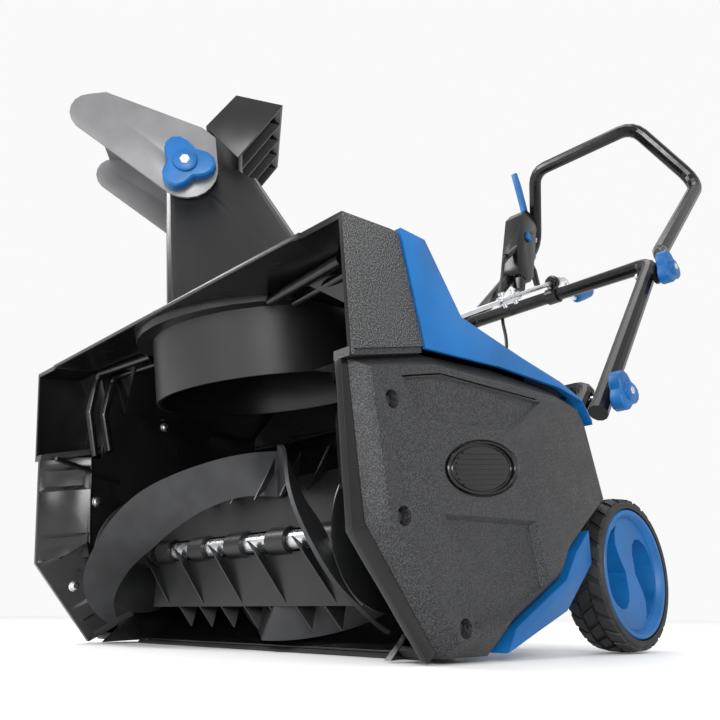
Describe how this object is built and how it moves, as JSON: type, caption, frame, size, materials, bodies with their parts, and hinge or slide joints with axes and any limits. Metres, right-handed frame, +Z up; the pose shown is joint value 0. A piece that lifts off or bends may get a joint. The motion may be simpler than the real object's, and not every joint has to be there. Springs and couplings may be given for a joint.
{
  "type": "single stage snowblower",
  "caption": "Corded single-stage snow thrower: auger housing, belt-driven paddle auger, cranked chute with tilting hood, transport wheels and folding tube handle.",
  "frame": {"origin": "on the ground, at the middle of the scraper bar's underside", "axes": "+Z up; the intake faces -Y and the operator stands at +Y; +X is the right-hand side seen from the front"},
  "size_m": [0.49, 0.9803, 0.8614],
  "materials": {
    "auger_plastic": "satin",
    "belt_rubber": "matte",
    "blue_plastic": "satin",
    "cable_rubber": "matte",
    "chute_plastic": "satin",
    "dark_steel": "satin",
    "housing_plastic": "gloss",
    "motor_metal": "satin",
    "painted_tube": "gloss",
    "rubber": "matte",
    "textured_plastic": "matte",
    "zinc_steel": "satin"
  },
  "bodies": {
    "base": {"auger_bearing_left": "zinc_steel", "auger_bearing_right": "zinc_steel", "auger_housing": "housing_plastic", "axle_bracket_left": "housing_plastic", "axle_bracket_right": "housing_plastic", "belly_cover": "blue_plastic", "chute_collar": "chute_plastic", "crank_bearing": "chute_plastic", "crank_bracket": "painted_tube", "drive_belt": "belt_rubber", "lower_bolt_left": "zinc_steel", "lower_bolt_right": "zinc_steel", "lower_handle": "painted_tube", "middle_handle": "painted_tube", "motor": "motor_metal", "rear_cover": "housing_plastic", "scraper_bar": "rubber", "side_cover_left": "textured_plastic", "side_cover_right": "textured_plastic", "side_cover_screw_1": "dark_steel", "side_cover_screw_2": "dark_steel", "side_cover_screw_3": "dark_steel", "switch_cable_lower": "cable_rubber", "upper_bolt_left": "zinc_steel", "upper_bolt_right": "zinc_steel", "upper_shroud": "blue_plastic", "wheel_axle": "dark_steel"},
    "auger": {"auger_flight_left_a": "rubber", "auger_flight_left_b": "rubber", "auger_flight_right_a": "rubber", "auger_flight_right_b": "rubber", "auger_pulley": "dark_steel", "auger_rotor": "auger_plastic", "auger_shaft": "zinc_steel"},
    "motor_rotor": {"motor_pulley": "dark_steel", "motor_shaft": "zinc_steel"},
    "wheel_left": {"tyre_left": "rubber", "wheel_hub_left": "blue_plastic"},
    "wheel_right": {"tyre_right": "rubber", "wheel_hub_right": "blue_plastic"},
    "chute": {"chute_body": "chute_plastic", "chute_ring": "chute_plastic", "deflector_bolt": "zinc_steel", "deflector_pin": "zinc_steel"},
    "deflector": {"deflector_grip": "chute_plastic", "deflector_hood": "chute_plastic"},
    "deflector_knob": {"deflector_knob": "blue_plastic"},
    "crank": {"crank_gear": "dark_steel", "crank_rod": "zinc_steel"},
    "crank_grip": {"crank_grip": "blue_plastic"},
    "handle": {"cord_hook": "painted_tube", "switch_box": "housing_plastic", "switch_cable_upper": "cable_rubber", "upper_handle": "painted_tube"},
    "bail_lever": {"bail_lever": "blue_plastic"},
    "safety_button": {"safety_button": "blue_plastic"},
    "lower_knob_left": {"lower_knob_left": "blue_plastic"},
    "lower_knob_right": {"lower_knob_right": "blue_plastic"},
    "upper_knob_left": {"upper_knob_left": "blue_plastic"},
    "upper_knob_right": {"upper_knob_right": "blue_plastic"}
  },
  "joints": [
    {"name": "auger_spin", "type": "hinge", "parent": "base", "child": "auger", "pos_m": [0, -0.027, 0.087], "axis": [1, 0, 0], "continuous": true},
    {"name": "motor_spin", "type": "hinge", "parent": "base", "child": "motor_rotor", "pos_m": [0.212, 0.115, 0.14], "axis": [1, 0, 0], "continuous": true},
    {"name": "wheel_left_spin", "type": "hinge", "parent": "base", "child": "wheel_left", "pos_m": [-0.226, 0.208, 0.0645], "axis": [1, 0, 0], "continuous": true},
    {"name": "wheel_right_spin", "type": "hinge", "parent": "base", "child": "wheel_right", "pos_m": [0.226, 0.208, 0.0645], "axis": [1, 0, 0], "continuous": true},
    {"name": "chute_turn", "type": "hinge", "parent": "base", "child": "chute", "pos_m": [0, -0.006, 0.228], "axis": [0, -0.1736, 0.9848], "range_deg": [-54, 126]},
    {"name": "deflector_tilt", "type": "hinge", "parent": "chute", "child": "deflector", "pos_m": [-0.03644, -0.09186, 0.4261], "axis": [0.809, -0.5789, -0.1021], "range_deg": [-8, 50]},
    {"name": "deflector_knob_turn", "type": "hinge", "parent": "chute", "child": "deflector_knob", "pos_m": [-0.03644, -0.09186, 0.4261], "axis": [0.809, -0.5789, -0.1021], "continuous": true},
    {"name": "crank_turn", "type": "hinge", "parent": "base", "child": "crank", "pos_m": [0.004, 0.139, 0.3165], "axis": [0, 0.8827, 0.47], "range_deg": [-648, 1512]},
    {"name": "crank_grip_spin", "type": "hinge", "parent": "crank", "child": "crank_grip", "pos_m": [0.004, 0.59211, 0.51698], "axis": [0, 0.8827, 0.47], "continuous": true},
    {"name": "handle_fold", "type": "hinge", "parent": "base", "child": "handle", "pos_m": [0, 0.50517, 0.4747], "axis": [1, 0, 0], "range_deg": [-100, 0], "deforming": ["switch_cable_upper"]},
    {"name": "lever_squeeze", "type": "hinge", "parent": "handle", "child": "bail_lever", "pos_m": [-0.15, 0.70408, 0.73505], "axis": [1, 0, 0], "range_deg": [-3.5, 0], "stiffness_Nm_per_rad": 1, "springref_deg": 2.86},
    {"name": "safety_press", "type": "slide", "parent": "handle", "child": "safety_button", "axis": [-1, 0, 0], "range_m": [0, 0.004], "stiffness_N_per_m": 300, "springref_m": -0.002},
    {"name": "lower_knob_left_turn", "type": "hinge", "parent": "base", "child": "lower_knob_left", "pos_m": [-0.1765, 0.345, 0.268], "axis": [1, 0, 0], "continuous": true},
    {"name": "upper_knob_left_turn", "type": "hinge", "parent": "base", "child": "upper_knob_left", "pos_m": [-0.182, 0.50517, 0.4747], "axis": [1, 0, 0], "continuous": true},
    {"name": "lower_knob_right_turn", "type": "hinge", "parent": "base", "child": "lower_knob_right", "pos_m": [0.1765, 0.345, 0.268], "axis": [1, 0, 0], "continuous": true},
    {"name": "upper_knob_right_turn", "type": "hinge", "parent": "base", "child": "upper_knob_right", "pos_m": [0.182, 0.50517, 0.4747], "axis": [1, 0, 0], "continuous": true}
  ],
  "couplings": [
    {"joint": "motor_spin", "follows": "auger_spin", "ratio": 3.2857},
    {"joint": "crank_turn", "follows": "chute_turn", "ratio": 12}
  ]
}
